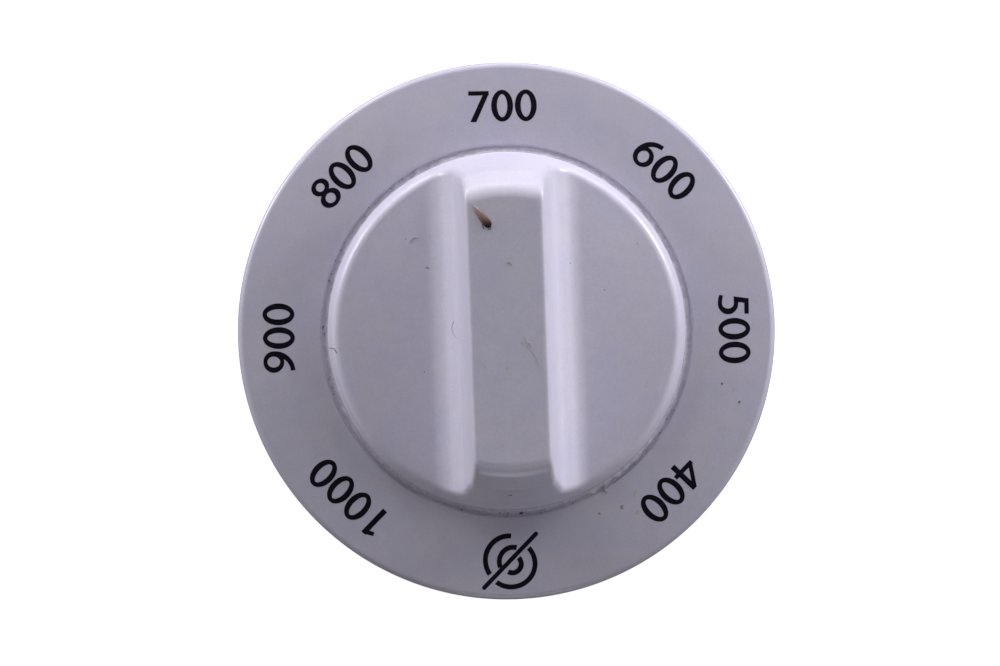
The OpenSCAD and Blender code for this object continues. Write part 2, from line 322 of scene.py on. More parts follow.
def contour(name, field):
    """A closed mesh of a field's surface, with one vertex in each cell that it crosses."""
    axes = [np.arange(a - GRID_BEFORE * GRID_STEP, b + GRID_AFTER * GRID_STEP, GRID_STEP)
            for a, b in zip(GRID_LOW, GRID_HIGH)]
    grid = sample(field, axes)
    start = np.array([a[0] for a in axes])
    found = [crossings(field, grid, start, axis) for axis in range(3)]
    points, normals, cells, quads = (np.concatenate(part) for part in zip(*found))
    ids, index = np.unique(cells, return_inverse=True)
    spots = best_points(points, normals, index.ravel(), len(ids))
    corner = start + GRID_STEP * np.stack(np.unravel_index(ids, grid.shape), 1)
    spots = np.clip(spots, corner, corner + GRID_STEP)
    for _ in range(2):
        d, g = field(spots)
        spots = spots - np.clip(d, -POINT_MOVE * GRID_STEP, POINT_MOVE * GRID_STEP)[:, None] * g
    mesh = bpy.data.meshes.new(name)
    mesh.from_pydata((spots * MM).tolist(), [], np.searchsorted(ids, quads).tolist())
    bm = bmesh.new()
    bm.from_mesh(mesh)
    angle = math.radians(FLAT_WITHIN)
    bmesh.ops.dissolve_limit(bm, angle_limit=angle, verts=bm.verts, edges=bm.edges, delimit=set())
    bm.to_mesh(mesh)
    bm.free()
    set_normals(mesh, field)
    return new_object(name, mesh)


def set_normals(mesh, field):
    """Normals of the field at each corner, and the face's own where an edge is sharp."""
    mesh.update()
    places = np.empty(len(mesh.vertices) * 3)
    mesh.vertices.foreach_get("co", places)
    g = field(places.reshape(-1, 3) / MM)[1]
    g = g / np.maximum(np.linalg.norm(g, axis=1), 1e-9)[:, None]
    verts = np.empty(len(mesh.loops), int)
    mesh.loops.foreach_get("vertex_index", verts)
    totals = np.empty(len(mesh.polygons), int)
    mesh.polygons.foreach_get("loop_total", totals)
    flat = np.empty(len(mesh.polygons) * 3)
    mesh.polygons.foreach_get("normal", flat)
    flat = np.repeat(flat.reshape(-1, 3), totals, axis=0)
    soft = g[verts]
    normals = np.where(((soft * flat).sum(1) > SHARP_BELOW)[:, None], soft, flat)
    mesh.polygons.foreach_set("use_smooth", np.ones(len(mesh.polygons), bool))
    mesh.normals_split_custom_set(normals.tolist())


# Meshes from rings of points

def new_object(name, data):
    """An object in the scene with this mesh, lamp or camera."""
    obj = bpy.data.objects.new(name, data)
    SCENE.collection.objects.link(obj)
    return obj


def closed_object(name, points, faces):
    """A closed mesh with points in millimetres, its faces turned outwards and no point left over."""
    mesh = bpy.data.meshes.new(name)
    mesh.from_pydata([[c * MM for c in p] for p in points], [], faces)
    bm = bmesh.new()
    bm.from_mesh(mesh)
    bmesh.ops.delete(bm, geom=[v for v in bm.verts if not v.link_faces], context="VERTS")
    bmesh.ops.recalc_face_normals(bm, faces=bm.faces)
    bm.to_mesh(mesh)
    bm.free()
    return new_object(name, mesh)


def loft(name, rings, endless=False):
    """A skin over rings of as many points each, with its ends joined or else capped."""
    n, last = len(rings[0]), len(rings) - 1
    faces = []
    for s in range(last + 1 if endless else last):
        a, b = s * n, (s + 1) % len(rings) * n
        faces += [(a + i, b + i, b + (i + 1) % n, a + (i + 1) % n) for i in range(n)]
    if not endless:
        faces += [tuple(range(n)), tuple(range(last * n, (last + 1) * n))]
    return closed_object(name, [p for ring in rings for p in ring], faces)


def arc(cx, cz, r, a0, a1, steps=8):
    """Points on an arc between two angles in degrees."""
    angles = [math.radians(a0 + (a1 - a0) * i / steps) for i in range(steps + 1)]
    return [(cx + r * math.cos(a), cz + r * math.sin(a)) for a in angles]


def revolve(name, profile, segments=288):
    """A closed ring with this section, listed as radius and height."""
    angles = [2 * math.pi * s / segments for s in range(segments)]
    return loft(name, [[(r * math.cos(a), r * math.sin(a), z) for r, z in profile] for a in angles], True)


def block(low, high, turn):
    """A closed block between two corners in millimetres, turned about Z by degrees."""
    mesh = bpy.data.meshes.new("block")
    bm = bmesh.new()
    bmesh.ops.create_cube(bm, size=1)
    centre, size = (Vector(low) + Vector(high)) / 2 * MM, (Vector(high) - Vector(low)) * MM
    turned = Matrix.Rotation(math.radians(turn), 4, "Z")
    bm.transform(turned @ Matrix.Translation(centre) @ Matrix.Diagonal((*size, 1)))
    bm.to_mesh(mesh)
    bm.free()
    return mesh


def combine(obj, meshes, operation):
    """Adds closed meshes to obj, or takes them away."""
    tools = []
    for mesh in meshes:
        tool = new_object("tool", mesh)
        modifier = obj.modifiers.new("tool", "BOOLEAN")
        modifier.operation, modifier.solver, modifier.object = operation, "MANIFOLD", tool
        tools.append(tool)
    bpy.context.view_layer.update()
    done = bpy.data.meshes.new_from_object(obj.evaluated_get(bpy.context.evaluated_depsgraph_get()))
    obj.modifiers.clear()
    obj.data = done
    for tool in tools:
        bpy.data.meshes.remove(tool.data)


def smooth(obj, angle):
    """Smooth shading, with the edges above this angle in degrees left sharp."""
    mesh = obj.data
    mesh.polygons.foreach_set("use_smooth", np.ones(len(mesh.polygons), bool))
    mesh.set_sharp_from_angle(angle=math.radians(angle))


# The dial and the spring ring

def make_dial():
    """The ring that carries the scale, with ribs below its face and notches for the hooks."""
    lean = math.radians(DIAL_RIM_LEAN)
    top_r = DIAL_R - DIAL_H * math.tan(lean)
    inset = DIAL_EDGE_R * (1 - math.sin(lean)) / math.cos(lean)
    under = DIAL_H - DIAL_FACE_T
    inner = DIAL_R - DIAL_RIM_T
    inner_top = inner - under * math.tan(lean)
    collar, ledge, corner = HOLE_R + COLLAR_T, INNER_R - LEDGE_OVER, 0.1
    profile = (
        arc(inner + DIAL_SMALL_R, DIAL_SMALL_R, DIAL_SMALL_R, 180, 270, 4)
        + arc(DIAL_R - DIAL_LARGE_R, DIAL_LARGE_R, DIAL_LARGE_R, 270, 360 + DIAL_RIM_LEAN, 5)
        + arc(top_r - inset, DIAL_H - DIAL_EDGE_R, DIAL_EDGE_R, DIAL_RIM_LEAN, 90, 10)
        + arc(GROOVE_R + LIP_R, DIAL_H - LIP_R, LIP_R, 90, 180, 8)
        + arc(GROOVE_R - corner, GROOVE_Z + corner, corner, 0, -90, 3)
        + [(HOLE_R, GROOVE_Z), (HOLE_R, SEAT_Z), (ledge, SEAT_Z), (ledge, LEDGE_Z), (collar, LEDGE_Z)]
        + arc(collar + DIAL_SMALL_R, under - DIAL_SMALL_R, DIAL_SMALL_R, 180, 90, 3)
        + arc(inner_top - DIAL_LARGE_R, under - DIAL_LARGE_R, DIAL_LARGE_R, 90, 0, 3))
    obj = revolve("dial_moulding", profile)
    rib_low = (HOLE_R + COLLAR_T / 2, -DIAL_RIB_T / 2, under - DIAL_RIB_H)
    rib_high = (DIAL_R - DIAL_RIM_T / 2, DIAL_RIB_T / 2, under + DIAL_FACE_T / 2)
    ribs = [block(rib_low, rib_high, (i + 0.5) * 360 / DIAL_RIBS) for i in range(DIAL_RIBS)]
    combine(obj, ribs, "UNION")
    notches = []
    for angle, width in ((0, HOOK_W), (90, KEY_HOOK_W), (180, HOOK_W), (270, HOOK_W)):
        half = width / 2 + NOTCH_GAP
        low, high = (INNER_R - OVER, -half, LEDGE_Z - OVER), (HOOK_R + NOTCH_GAP, half, SEAT_Z + OVER)
        notches.append(block(low, high, angle))
    combine(obj, notches, "DIFFERENCE")
    smooth(obj, 28)
    return obj


def make_spring():
    """A C ring of flat strip with rounded edges, open towards -Y."""
    t, w, r = SPRING_T, SPRING_W, SPRING_EDGE_R
    section = (arc(t - r, r, r, 270, 360, 3) + arc(t - r, w - r, r, 0, 90, 3)
               + arc(r, w - r, r, 90, 180, 3) + arc(r, r, r, 180, 270, 3))
    steps = 96
    rings = []
    for s in range(steps + 1):
        a = math.radians(-90 + SPRING_GAP / 2 + (360 - SPRING_GAP) * s / steps)
        rings.append([((HUB_R + q) * math.cos(a), (HUB_R + q) * math.sin(a), RING_Z + h) for q, h in section])
    obj = loft("spring_ring", rings)
    smooth(obj, 40)
    return obj


# Printed scale
# A numeral's outline is built from bars and parts of rings, in units of which it is 31 high.

UNIT, NUMERAL_H = 0.1115, 31
ADVANCE = {"0": 23.6, "1": 20.9, "4": 24.7, "5": 23.3, "6": 23.7, "7": 22.7, "8": 24.1, "9": 23.7}


def sweep(cx, cy, outer, inner, a0, a1, steps=28):
    """Part of an elliptical ring, as one outline."""
    out = []
    for (rx, ry), (first, last) in ((outer, (a0, a1)), (inner, (a1, a0))):
        for i in range(steps + 1):
            a = math.radians(first + (last - first) * i / steps)
            out.append((cx + rx * math.cos(a), cy + ry * math.sin(a)))
    return out


def ring(cx, cy, outer, inner):
    """A whole elliptical ring, in two halves."""
    return [sweep(cx, cy, outer, inner, -90, 90), sweep(cx, cy, outer, inner, 90, 270)]


def bar(x0, y0, x1, y1):
    """A rectangle between two corners."""
    return [(x0, y0), (x1, y0), (x1, y1), (x0, y1)]


def stroke(x0, y0, x1, y1, w):
    """A straight stroke with rounded ends."""
    d = Vector((x1 - x0, y1 - y0)).normalized() * w / 2
    a = math.degrees(math.atan2(d.y, d.x))
    return arc(x1, y1, w / 2, a - 90, a + 90, 6) + arc(x0, y0, w / 2, a + 90, a + 270, 6)


SIX = ring(10.3, 10, (10.3, 10), (5.8, 6.7)) + [sweep(20, 11.6, (20, 19.4), (15.3, 15.6), 180, 94.6)]
GLYPHS = {
    "0": ring(10.5, 15.5, (10.5, 15.5), (5.5, 11.8)),
    "1": [bar(6.5, 0, 11.2, 30.6), [(0, 26), (1.4, 23.2), (6.8, 25.6), (9, 28.5), (9, 30.6), (7.9, 30.6)]],
    "4": [bar(14.2, 0, 18.9, 30.4), bar(0, 7.9, 22.5, 11.6),
          [(0, 10.2), (2, 9), (5.4, 11.6), (14.4, 24.8), (15, 30.4), (14.2, 30.4)]],
    "5": [bar(3.9, 26.3, 18.5, 30), [(3.9, 30), (1.9, 15.7), (6.5, 17.5), (7.9, 28)],
          [(8.4, 19.5), (6.3, 19.2), (1.9, 15.7), (8.4, 16)],
          sweep(8.4, 9.7, (10.5, 9.8), (5.5, 6.3), 90, -90),
          sweep(8.4, 9.7, (15, 9.8), (13.8, 6.3), 270, 236)],
    "6": SIX,
    "7": [bar(0, 26.5, 19.7, 30), [(14.6, 27), (15.4, 29), (19.7, 30), (19.7, 27.6), (6.9, 0), (1.8, 0)]],
    "8": ring(10.8, 23.2, (9.3, 7.8), (4.8, 4.6)) + ring(10.6, 8.5, (10.6, 8.6), (5.6, 5.5)),
    "9": [[(20.7 - x, NUMERAL_H - y) for x, y in part] for part in SIX],
}
# The sign for no spin, about its own middle
NO_SPIN = [stroke(-25.2, -26.8, 27.5, 26, 3.6),
           sweep(0.1, 2.6, (25.9, 25.2), (21.7, 21), 52, 221),
           sweep(1.6, -1.1, (26.3, 26.3), (22, 22), 34, -94),
           sweep(-1.2, 2.9, (10.9, 10.9), (6.5, 6.5), 62, 222),
           sweep(-2, 0.4, (16, 16.4), (11.8, 12.1), 22, -104)]
NO_SPIN_ANGLE = 270
SCALE = (("700", 90), ("600", 45), ("500", 0), ("400", -45), ("1000", 225), ("900", 180), ("800", 135))
# Where the last numeral of a label with three or four of them starts, right of the label's middle
LAST_NUMERAL_X = {3: 12.9, 4: 24.5}
# Middle and radius of the scale's circle, and how far the scale is turned, in degrees
PRINT_AT, PRINT_R, PRINT_TURN = Vector((0.0, -0.3)), 25.3, -0.88
# How far the ink spreads, reaches into the face and stands above it, in millimetres
INK_SPREAD, INK_SUNK, INK_T = 0.04, 0.01, 0.012
# Keeps the spread of a sharp corner short
LEAST_OPENING = 0.3


def spread(outline, width):
    """Moves the sides of an anticlockwise outline outwards."""
    out = []
    for before, here, after in zip(outline[-1:] + outline[:-1], outline, outline[1:] + outline[:1]):
        a, b = (here - before).normalized(), (after - here).normalized()
        a, b = Vector((a.y, -a.x)), Vector((b.y, -b.x))
        out.append(here + (a + b) * width / max(1 + a.dot(b), LEAST_OPENING))
    return out


def film(name, outlines, z0, z1):
    """A thin closed film with these outlines, in millimetres, joined into one shape."""
    points, edges, faces = [], [], []
    for outline in outlines:
        start, n = len(points), len(outline)
        area = sum(a[0] * b[1] - b[0] * a[1] for a, b in zip(outline, outline[1:] + outline[:1]))
        outline = outline if area > 0 else outline[::-1]
        points += spread(outline, INK_SPREAD)
        edges += [(start + i, start + (i + 1) % n) for i in range(n)]
        faces.append(list(range(start, start + n)))
    # A triangle with an origin lies inside an outline
    flat, _, tris, _, _, origin = geometry.delaunay_2d_cdt(points, edges, faces, 0, 1e-4)
    tops = [tuple(t) for t, inside in zip(tris, origin) if inside]
    n = len(flat)
    bottoms = [tuple(i + n for i in reversed(t)) for t in tops]
    sides = dict.fromkeys((a, b) for t in tops for a, b in zip(t, t[1:] + t[:1]))
    walls = [(a, a + n, b + n, b) for a, b in sides if (b, a) not in sides]
    return closed_object(name, [(p.x, p.y, z) for z in (z1, z0) for p in flat], tops + bottoms + walls)


def place_on_scale(outline, angle, x0):
    """Puts an outline on the scale's circle, with its top outwards."""
    a = math.radians(angle + PRINT_TURN)
    out, right = Vector((math.cos(a), math.sin(a))), Vector((math.sin(a), -math.cos(a)))
    middle = PRINT_AT + out * PRINT_R
    return [middle + (out * (y - NUMERAL_H / 2) + right * (x + x0)) * UNIT for x, y in outline]


def make_print():
    """The numerals round the dial and the sign for no spin."""
    outlines = []
    for text, angle in SCALE:
        x = LAST_NUMERAL_X[len(text)] - sum(ADVANCE[c] for c in text[:-1])
        for c in text:
            outlines += [place_on_scale(part, angle, x) for part in GLYPHS[c]]
            x += ADVANCE[c]
    for part in NO_SPIN:
        outlines.append(place_on_scale([(x, y + NUMERAL_H / 2) for x, y in part], NO_SPIN_ANGLE, 0))
    return film("printed_scale", outlines, FACE_Z - INK_SUNK, FACE_Z + INK_T)


# Materials

class Look:
    """A material that is built up from textures in the object's own coordinates."""

    def __init__(self, name):
        self.material = bpy.data.materials.new(name)
        self.material.use_nodes = True
        self.tree = self.material.node_tree
        self.shader = self.tree.nodes["Principled BSDF"]
        self.place = self.node("ShaderNodeTexCoord").outputs["Object"]

    def node(self, kind, **settings):
        node = self.tree.nodes.new(kind)
        for key, value in settings.items():
            setattr(node, key, value)
        return node

    def feed(self, socket, value):
        """Links a socket to another, or sets it to a constant."""
        if isinstance(value, bpy.types.NodeSocket):
            self.tree.links.new(value, socket)
        else:
            socket.default_value = value

    def maths(self, operation, a, b=0.0):
        node = self.node("ShaderNodeMath", operation=operation)
        self.feed(node.inputs[0], a)
        self.feed(node.inputs[1], b)
        return node.outputs[0]

    def stretched(self, x, y, z):
        """Coordinates scaled along each axis."""
        node = self.node("ShaderNodeMapping")
        self.feed(node.inputs["Vector"], self.place)
        node.inputs["Scale"].default_value = (x, y, z)
        return node.outputs[0]

    def noise(self, size, detail=2.0, place=None):
        """Cloudy noise with patches of this size in millimetres."""
        node = self.node("ShaderNodeTexNoise")
        self.feed(node.inputs["Vector"], place or self.place)
        node.inputs["Scale"].default_value = 1 / (size * MM)
        node.inputs["Detail"].default_value = detail
        return node.outputs["Fac"]

    def dots(self, spacing, size):
        """Small round spots, 1 inside a spot, with these sizes in millimetres."""
        node = self.node("ShaderNodeTexVoronoi")
        self.feed(node.inputs["Vector"], self.place)
        node.inputs["Scale"].default_value = 1 / (spacing * MM)
        return self.span(node.outputs["Distance"], size / spacing, 0.4 * size / spacing, 0, 1)

    def span(self, value, from_low, from_high, to_low, to_high):
        """Maps one range onto another and stops at its ends."""
        node = self.node("ShaderNodeMapRange")
        for i, v in enumerate((value, from_low, from_high, to_low, to_high)):
            self.feed(node.inputs[i], v)
        return node.outputs[0]

    def mix(self, share, a, b, blend="MIX"):
        """Two colours mixed, the second with this share. A colour is a triple or a socket."""
        node = self.node("ShaderNodeMix", data_type="RGBA", blend_type=blend)
        self.feed(node.inputs[0], share)
        self.feed(node.inputs[6], (*a, 1) if isinstance(a, tuple) else a)
        self.feed(node.inputs[7], (*b, 1) if isinstance(b, tuple) else b)
        return node.outputs[2]

    def radius_and_height(self):
        """Distance from the axis, and height, in metres."""
        node = self.node("ShaderNodeSeparateXYZ")
        self.feed(node.inputs[0], self.place)
        x, y, z = node.outputs
        squares = self.maths("ADD", self.maths("MULTIPLY", x, x), self.maths("MULTIPLY", y, y))
        return self.maths("SQRT", squares), z

    def relief(self, *layers):
        """Bump from pairs of a height and its size in millimetres."""
        normal = None
        for height, size in layers:
            node = self.node("ShaderNodeBump")
            node.inputs["Distance"].default_value = size * MM
            self.feed(node.inputs["Height"], height)
            if normal:
                self.feed(node.inputs["Normal"], normal)
            normal = node.outputs[0]
        self.feed(self.shader.inputs["Normal"], normal)

    def finish(self, colour, roughness):
        self.feed(self.shader.inputs["Base Color"], colour)
        self.feed(self.shader.inputs["Roughness"], roughness)
        return self.material


PLASTIC_WARM, PLASTIC_COOL = (0.63, 0.606, 0.672), (0.6, 0.583, 0.688)
# The first colour darkens the crevice round the joint: painted shade there, with some grime. The second is
# the colour of dust spots.
SHADE_AND_GRIME, DUST = (0.16, 0.14, 0.13), (0.3, 0.28, 0.29)
# Heights where that painted shade and grime begins and is full, and distances from the joint where it begins
# and is full, in millimetres
SHADE_AND_GRIME_TOP_Z, SHADE_AND_GRIME_FULL_Z, SHADE_AND_GRIME_HALF_W, SHADE_AND_GRIME_FULL_W = 6.5, 5.8, 0.5, 0.1
# Share of the mirror light that dull dirt and ink give back
DULL = 0.15


def mottled_plastic(look, painted_shade_factor):
    """Base colour of the plastic: warm and cool clouds, with patches and grain of tone, all scaled by
    painted_shade_factor, which paints shade where it is below 1.
    """
    clouds, patches, grain = look.noise(6, 3), look.noise(1.6, 3), look.noise(0.3, 2)
    colour = look.mix(look.span(clouds, 0.35, 0.65, 0, 1), PLASTIC_WARM, PLASTIC_COOL)
    mottle, fine = look.span(patches, 0.3, 0.7, 0.975, 1.02), look.span(grain, 0.3, 0.7, -0.032, 0.032)
    tone = look.maths("MULTIPLY", look.maths("ADD", mottle, fine), painted_shade_factor)
    return look.mix(1.0, colour, look.span(tone, 0, 2, 0, 2), "MULTIPLY")


def dust_share(look):
    """Share of dust: rare small spots, in loose groups."""
    groups = look.span(look.noise(3, 1), 0.5, 0.62, 0, 0.45)
    return look.maths("MULTIPLY", look.dots(0.9, 0.09), groups)


def shade_and_grime_share(look, shade_and_grime_r):
    """Share of painted shade and grime in the crevice round the joint: uneven, and close to this radius and
    to the dial's face.
    """
    radius, height = look.radius_and_height()
    away = look.maths("ABSOLUTE", look.maths("SUBTRACT", radius, shade_and_grime_r * MM))
    low = look.span(height, SHADE_AND_GRIME_TOP_Z * MM, SHADE_AND_GRIME_FULL_Z * MM, 0, 1)
    near = look.span(away, SHADE_AND_GRIME_HALF_W * MM, SHADE_AND_GRIME_FULL_W * MM, 0, 1)
    uneven = look.span(look.noise(0.5, 3), 0.42, 0.7, 0.02, 0.25)
    return look.maths("MULTIPLY", look.maths("MULTIPLY", near, low), uneven)


def plastic(name, painted_shade_factor, shade_and_grime_r):
    """White appliance plastic: faintly mottled and dusty, its tone scaled by painted_shade_factor, which
    paints shade where it is below 1, with painted shade and grime round the joint at shade_and_grime_r.
    """
    look = Look(name)
    shade_and_grime = shade_and_grime_share(look, shade_and_grime_r)
    colour = look.mix(dust_share(look), mottled_plastic(look, painted_shade_factor), DUST)
    # Painted shade and grime darkens the plastic in the crevice round the joint
    colour = look.mix(shade_and_grime, colour, SHADE_AND_GRIME)
    smears = look.noise(2.5, 3, look.stretched(1, 0.35, 1))
    roughness = look.maths("ADD", look.span(smears, 0.3, 0.7, 0.3, 0.37), look.span(shade_and_grime, 0, 0.4, 0, 0.3))
    look.relief((look.noise(0.7, 2), 0.0025), (look.noise(0.12, 2), 0.0008))
    return look.finish(colour, roughness)


def brushed_steel(name):
    """Spring strip with its rolling marks round the ring."""
    look = Look(name)
    look.shader.inputs["Metallic"].default_value = 1
    marks, stains = look.noise(0.5, 4, look.stretched(0.08, 0.08, 3)), look.noise(1.5, 3)
    colour = look.mix(look.span(marks, 0.3, 0.7, 0, 1), (0.5, 0.5, 0.51), (0.6, 0.6, 0.61))
    colour = look.mix(look.span(stains, 0.55, 0.8, 0, 0.5), colour, (0.3, 0.24, 0.19))
    look.relief((marks, 0.002))
    return look.finish(colour, look.span(stains, 0.3, 0.7, 0.28, 0.5))


def ink(name):
    """Black printing ink, slightly uneven."""
    look = Look(name)
    patches = look.noise(0.35, 3)
    look.shader.inputs["Specular IOR Level"].default_value = DULL
    colour = look.mix(look.span(patches, 0.35, 0.7, 0, 1), (0.002, 0.0015, 0.005), (0.005, 0.004, 0.011))
    look.relief((look.noise(0.15, 2), 0.001))
    return look.finish(colour, look.span(patches, 0.3, 0.7, 0.42, 0.6))


def soil(name, dark, pale, size=0.15):
    """Dirt that changes between two colours, in patches of this size in millimetres."""
    look = Look(name)
    patches = look.noise(size, 3)
    look.relief((patches, 0.02))
    colour = look.mix(look.span(patches, 0.35, 0.65, 0, 1), dark, pale)
    return look.finish(colour, look.span(patches, 0.3, 0.7, 0.7, 0.95))


# Colours of the husk at places along it: pale tip, brown middle, nearly black head
HUSK_STOPS = (
    (0.0, (0.46, 0.43, 0.42)), (0.3, (0.36, 0.27, 0.25)), (0.55, (0.25, 0.17, 0.14)),
    (0.74, (0.15, 0.085, 0.07)), (0.9, (0.035, 0.018, 0.018)), (1.0, (0.02, 0.012, 0.014)))
HUSK_WAVER = 0.12


def husk(name, length):
    """A dry husk, with its colours along its own X and streaks the same way."""
    look = Look(name)
    node = look.node("ShaderNodeSeparateXYZ")
    look.feed(node.inputs[0], look.place)
    streaks = look.noise(0.25, 3, look.stretched(0.25, 1, 1))
    waver = look.span(streaks, 0.2, 0.8, -HUSK_WAVER * MM, HUSK_WAVER * MM)
    ramp = look.node("ShaderNodeValToRGB")
    look.feed(ramp.inputs[0], look.span(look.maths("ADD", node.outputs[0], waver), 0, length * MM, 0, 1))
    elements = ramp.color_ramp.elements
    for at, _ in HUSK_STOPS[1:-1]:
        elements.new(at)
    for element, (_, colour) in zip(elements, HUSK_STOPS):
        element.color = (*colour, 1)
    look.relief((streaks, 0.03))
    look.shader.inputs["Specular IOR Level"].default_value = DULL
    colour = look.mix(1.0, ramp.outputs[0], look.span(streaks, 0.3, 0.7, 0.7, 1.15), "MULTIPLY")
    return look.finish(colour, 0.6)


def dress(obj, slot_name, material, *nodes):
    """Gives a piece its material, hides these nodes, which it stands for, and attaches it to the root;
    slot_name is not used.
    """
    obj.data.materials.clear()
    obj.data.materials.append(material)
    if nodes:
        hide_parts(*nodes)
    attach(obj, "root")


# The knob's own pieces

grip = contour("grip_moulding", grip_field)
dial = make_dial()
spring = make_spring()
scale = make_print()
dress(grip, "grip_plastic", plastic("grip_plastic", 1.0, DRUM_R), "grip")
# The dial gets the grip's plastic at 0.91 of its tone: painted shade, so that the lamps light it less
# brightly than the grip.
dress(dial, "dial_plastic", plastic("dial_plastic", 0.91, HOLE_R + GROOVE_W / 2), "dial")
dress(spring, "spring_steel", brushed_steel("spring_steel"), "spring_clip")
dress(scale, "print_ink", ink("print_ink"))


# Dirt: specks, fibres and the fleck, each laid on the surface under it

def tree_of(obj):
    """A search tree of the object's faces."""
    bm = bmesh.new()
    bm.from_mesh(obj.data)
    tree = BVHTree.FromBMesh(bm)
    bm.free()
    return tree


TREES = [tree_of(grip), tree_of(dial)]
RAY_Z = TOP_Z + 5
# How uneven a crumb is, and how far its middle lies above the surface, as shares of its size
CRUMB_UNEVEN, CRUMB_RISE = 0.18, 0.3
CRUMB_SEED = 1
# How far a fibre's middle lies above the surface, and the radius of its ends, as shares of its radius
FIBRE_RISE, FIBRE_END = 0.6, 0.35


def surface(x, y):
    """The knob's surface below a point, in millimetres, and the way it faces."""
    found = []
    for tree in TREES:
        at, normal, _, _ = tree.ray_cast(Vector((x, y, RAY_Z)) * MM, Vector((0, 0, -1)))
        if at:
            found.append((at.z / MM, normal))
    z, normal = max(found, key=lambda f: f[0])
    return Vector((x, y, z)), normal


def add_speck(bm, speck, rng):
    """An uneven crumb, sunk a little into the surface."""
    x, y, length, width, height, turn = speck
    at, normal = surface(x, y)
    made = bmesh.ops.create_icosphere(bm, subdivisions=2, radius=1)["verts"]
    lean = Vector((0, 0, 1)).rotation_difference(normal).to_matrix()
    lean = lean @ Matrix.Rotation(math.radians(turn), 3, "Z")
    for v in made:
        r = 1 + rng.uniform(-CRUMB_UNEVEN, CRUMB_UNEVEN)
        z = v.co.z * height * r + height * CRUMB_RISE
        p = Vector((v.co.x * length / 2 * r, v.co.y * width / 2 * r, z))
        v.co = (lean @ p + at) * MM


def smooth_line(points, steps=6):
    """Points on a smooth line that passes through all of these, as a Catmull-Rom curve."""
    ends = [points[0]] + list(points) + [points[-1]]
    line = []
    for a, b, c, d in zip(ends, ends[1:], ends[2:], ends[3:]):
        for i in range(steps):
            t = i / steps
            w = (-t ** 3 + 2 * t ** 2 - t, 3 * t ** 3 - 5 * t ** 2 + 2,
                 -3 * t ** 3 + 4 * t ** 2 + t, t ** 3 - t ** 2)
            line.append([sum(k * p[j] for k, p in zip(w, (a, b, c, d))) / 2 for j in (0, 1)])
    return line + [list(points[-1])]


def add_fibre(bm, radius, points, sides=6):
    """A thin hair along a smooth line through points, lying on the surface, thin at its ends."""
    path = []
    for p in smooth_line(points):
        at, normal = surface(*p)
        path.append(at + normal * radius * FIBRE_RISE)
    last = len(path) - 1
    rings = []
    for i, p in enumerate(path):
        along = (path[min(i + 1, last)] - path[max(i - 1, 0)]).normalized()
        across = along.cross(Vector((0, 0, 1))).normalized()
        up = across.cross(along)
        r = radius * (FIBRE_END if i in (0, last) else 1)
        rings.append([bm.verts.new((p + (across * math.cos(a) + up * math.sin(a)) * r) * MM)
                      for a in (2 * math.pi * k / sides for k in range(sides))])
    for one, two in zip(rings, rings[1:]):
        for k in range(sides):
            bm.faces.new((one[k], one[(k + 1) % sides], two[(k + 1) % sides], two[k]))
    bm.faces.new(rings[0][::-1])
    bm.faces.new(rings[-1])


def make_dirt(name, material, specks, fibres=()):
    """One piece made of all the specks and fibres of one colour."""
    rng = random.Random(CRUMB_SEED)
    bm = bmesh.new()
    for speck in specks:
        add_speck(bm, speck, rng)
    for radius, points in fibres:
        add_fibre(bm, radius, points)
    bmesh.ops.recalc_face_normals(bm, faces=bm.faces)
    mesh = bpy.data.meshes.new(name)
    bm.to_mesh(mesh)
    bm.free()
    obj = new_object(name, mesh)
    smooth(obj, 60)
    dress(obj, "soil", material)


def scatter(count, low, high, radii, lengths, seed):
    """Small specks at random between two angles in degrees and two radii."""
    rng = random.Random(seed)
    out = []
    for _ in range(count):
        a = math.radians(rng.uniform(low, high))
        r = rng.uniform(*radii)
        length = rng.uniform(*lengths)
        width, turn = length * rng.uniform(0.5, 1), rng.uniform(0, 180)
        out.append((r * math.cos(a), r * math.sin(a), length, width, length * 0.2, turn))
    return tuple(out)


FLECK_TIP, FLECK_LENGTH, FLECK_TURN = (-3.4, 13.42), 3.0, -53.2
# Place along the fleck, half width and height, in millimetres
FLECK = (
    (0, 0.05, 0.03), (0.35, 0.17, 0.06), (0.8, 0.31, 0.1), (1.4, 0.39, 0.13), (2.0, 0.43, 0.15),
    (2.5, 0.44, 0.15), (2.8, 0.37, 0.13), (2.95, 0.22, 0.08), (FLECK_LENGTH, 0.07, 0.03))
# Number and height of the ridges along it, and how far it reaches down, as shares of its size
FLECK_RIDGES, FLECK_RIDGE_H, FLECK_DOWN = 5, 0.06, 0.15


def make_fleck():
    """A dry husk: wider towards its head, ridged along, nearly flat below."""
    sides = 16
    angles = [2 * math.pi * k / sides for k in range(sides)]
    ridges = [1 + FLECK_RIDGE_H * math.cos(FLECK_RIDGES * a) for a in angles]
    rings = [[(x, w * ridge * math.cos(a), h * max(math.sin(a), -FLECK_DOWN))
              for a, ridge in zip(angles, ridges)] for x, w, h in FLECK]
    obj = loft("fleck", rings)
    smooth(obj, 60)
    obj.location = surface(*FLECK_TIP)[0] * MM
    obj.rotation_euler.z = math.radians(FLECK_TURN)
    dress(obj, "soil", husk("fleck_husk", FLECK_LENGTH))


# Foot of the dust in the joint, and its section from there, as radius and height
DUST_R, DUST_Z = DRUM_R + 0.02, GROOVE_Z - 0.02
DUST_SECTION = ((0, 0), (0.6, 0), (0.58, 0.05), (0.42, 0.09), (0.22, 0.15), (0.08, 0.23), (0.01, 0.32))
# Mean fullness of the dust, how far it strays, and the length of its lumps in millimetres
DUST_FULL, DUST_STRAY, DUST_LUMP = 0.8, 0.45, 0.9


